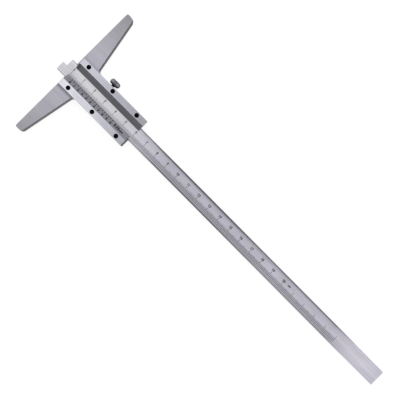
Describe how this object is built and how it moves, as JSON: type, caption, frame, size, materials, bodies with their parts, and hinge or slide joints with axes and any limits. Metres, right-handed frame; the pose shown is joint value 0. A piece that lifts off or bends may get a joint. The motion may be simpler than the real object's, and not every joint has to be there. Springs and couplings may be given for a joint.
{
  "type": "vernier depth gauge",
  "caption": "Vernier depth gauge: a graduated beam slides through a T-shaped base with tapered arms, bevelled plates and a knurled lock screw.",
  "frame": {"origin": "in the measuring face of the base, on the beam's centre line, at the height of the back", "axes": "+X along the beam towards its tail, +Y across it towards the lock screw, +Z out of the graduated face; the gauge lies on its back"},
  "size_m": [0.297, 0.1066, 0.0082],
  "materials": {
    "frame_steel": "satin, ground along the beam",
    "plate_steel": "fine satin",
    "scale_steel": "satin with engraved black marks",
    "screw_black": "blackened steel",
    "knurled_steel": "knurled",
    "spring_bronze": "rolled spring strip"
  },
  "bodies": {
    "base": {"base_frame": "frame_steel", "vernier_plate": "plate_steel", "cover_plate": "plate_steel", "vernier_plate_screw_1": "screw_black", "vernier_plate_screw_2": "screw_black", "vernier_plate_screw_3": "screw_black", "cover_plate_screw_1": "screw_black", "cover_plate_screw_2": "screw_black", "cover_plate_screw_3": "screw_black"},
    "beam": {"depth_beam": "scale_steel"},
    "gib": {"gib_spring": "spring_bronze"},
    "lock": {"lock_screw": "knurled_steel"}
  },
  "joints": [
    {"name": "beam_slide", "type": "slide", "parent": "base", "child": "beam", "axis": [-1, 0, 0], "range_m": [-0.0042, 0.1958]},
    {"name": "gib_press", "type": "slide", "parent": "base", "child": "gib", "axis": [0, -1, 0], "range_m": [0, 0.00025]},
    {"name": "lock_screw_turn", "type": "hinge", "parent": "gib", "child": "lock", "pos_m": [0.0276, 0.0129, 0.00425], "axis": [0, -1, 0], "range_deg": [0, 200]}
  ],
  "couplings": [
    {"joint": "lock_screw_turn", "follows": "gib_press", "rad_per_m": 13963}
  ]
}
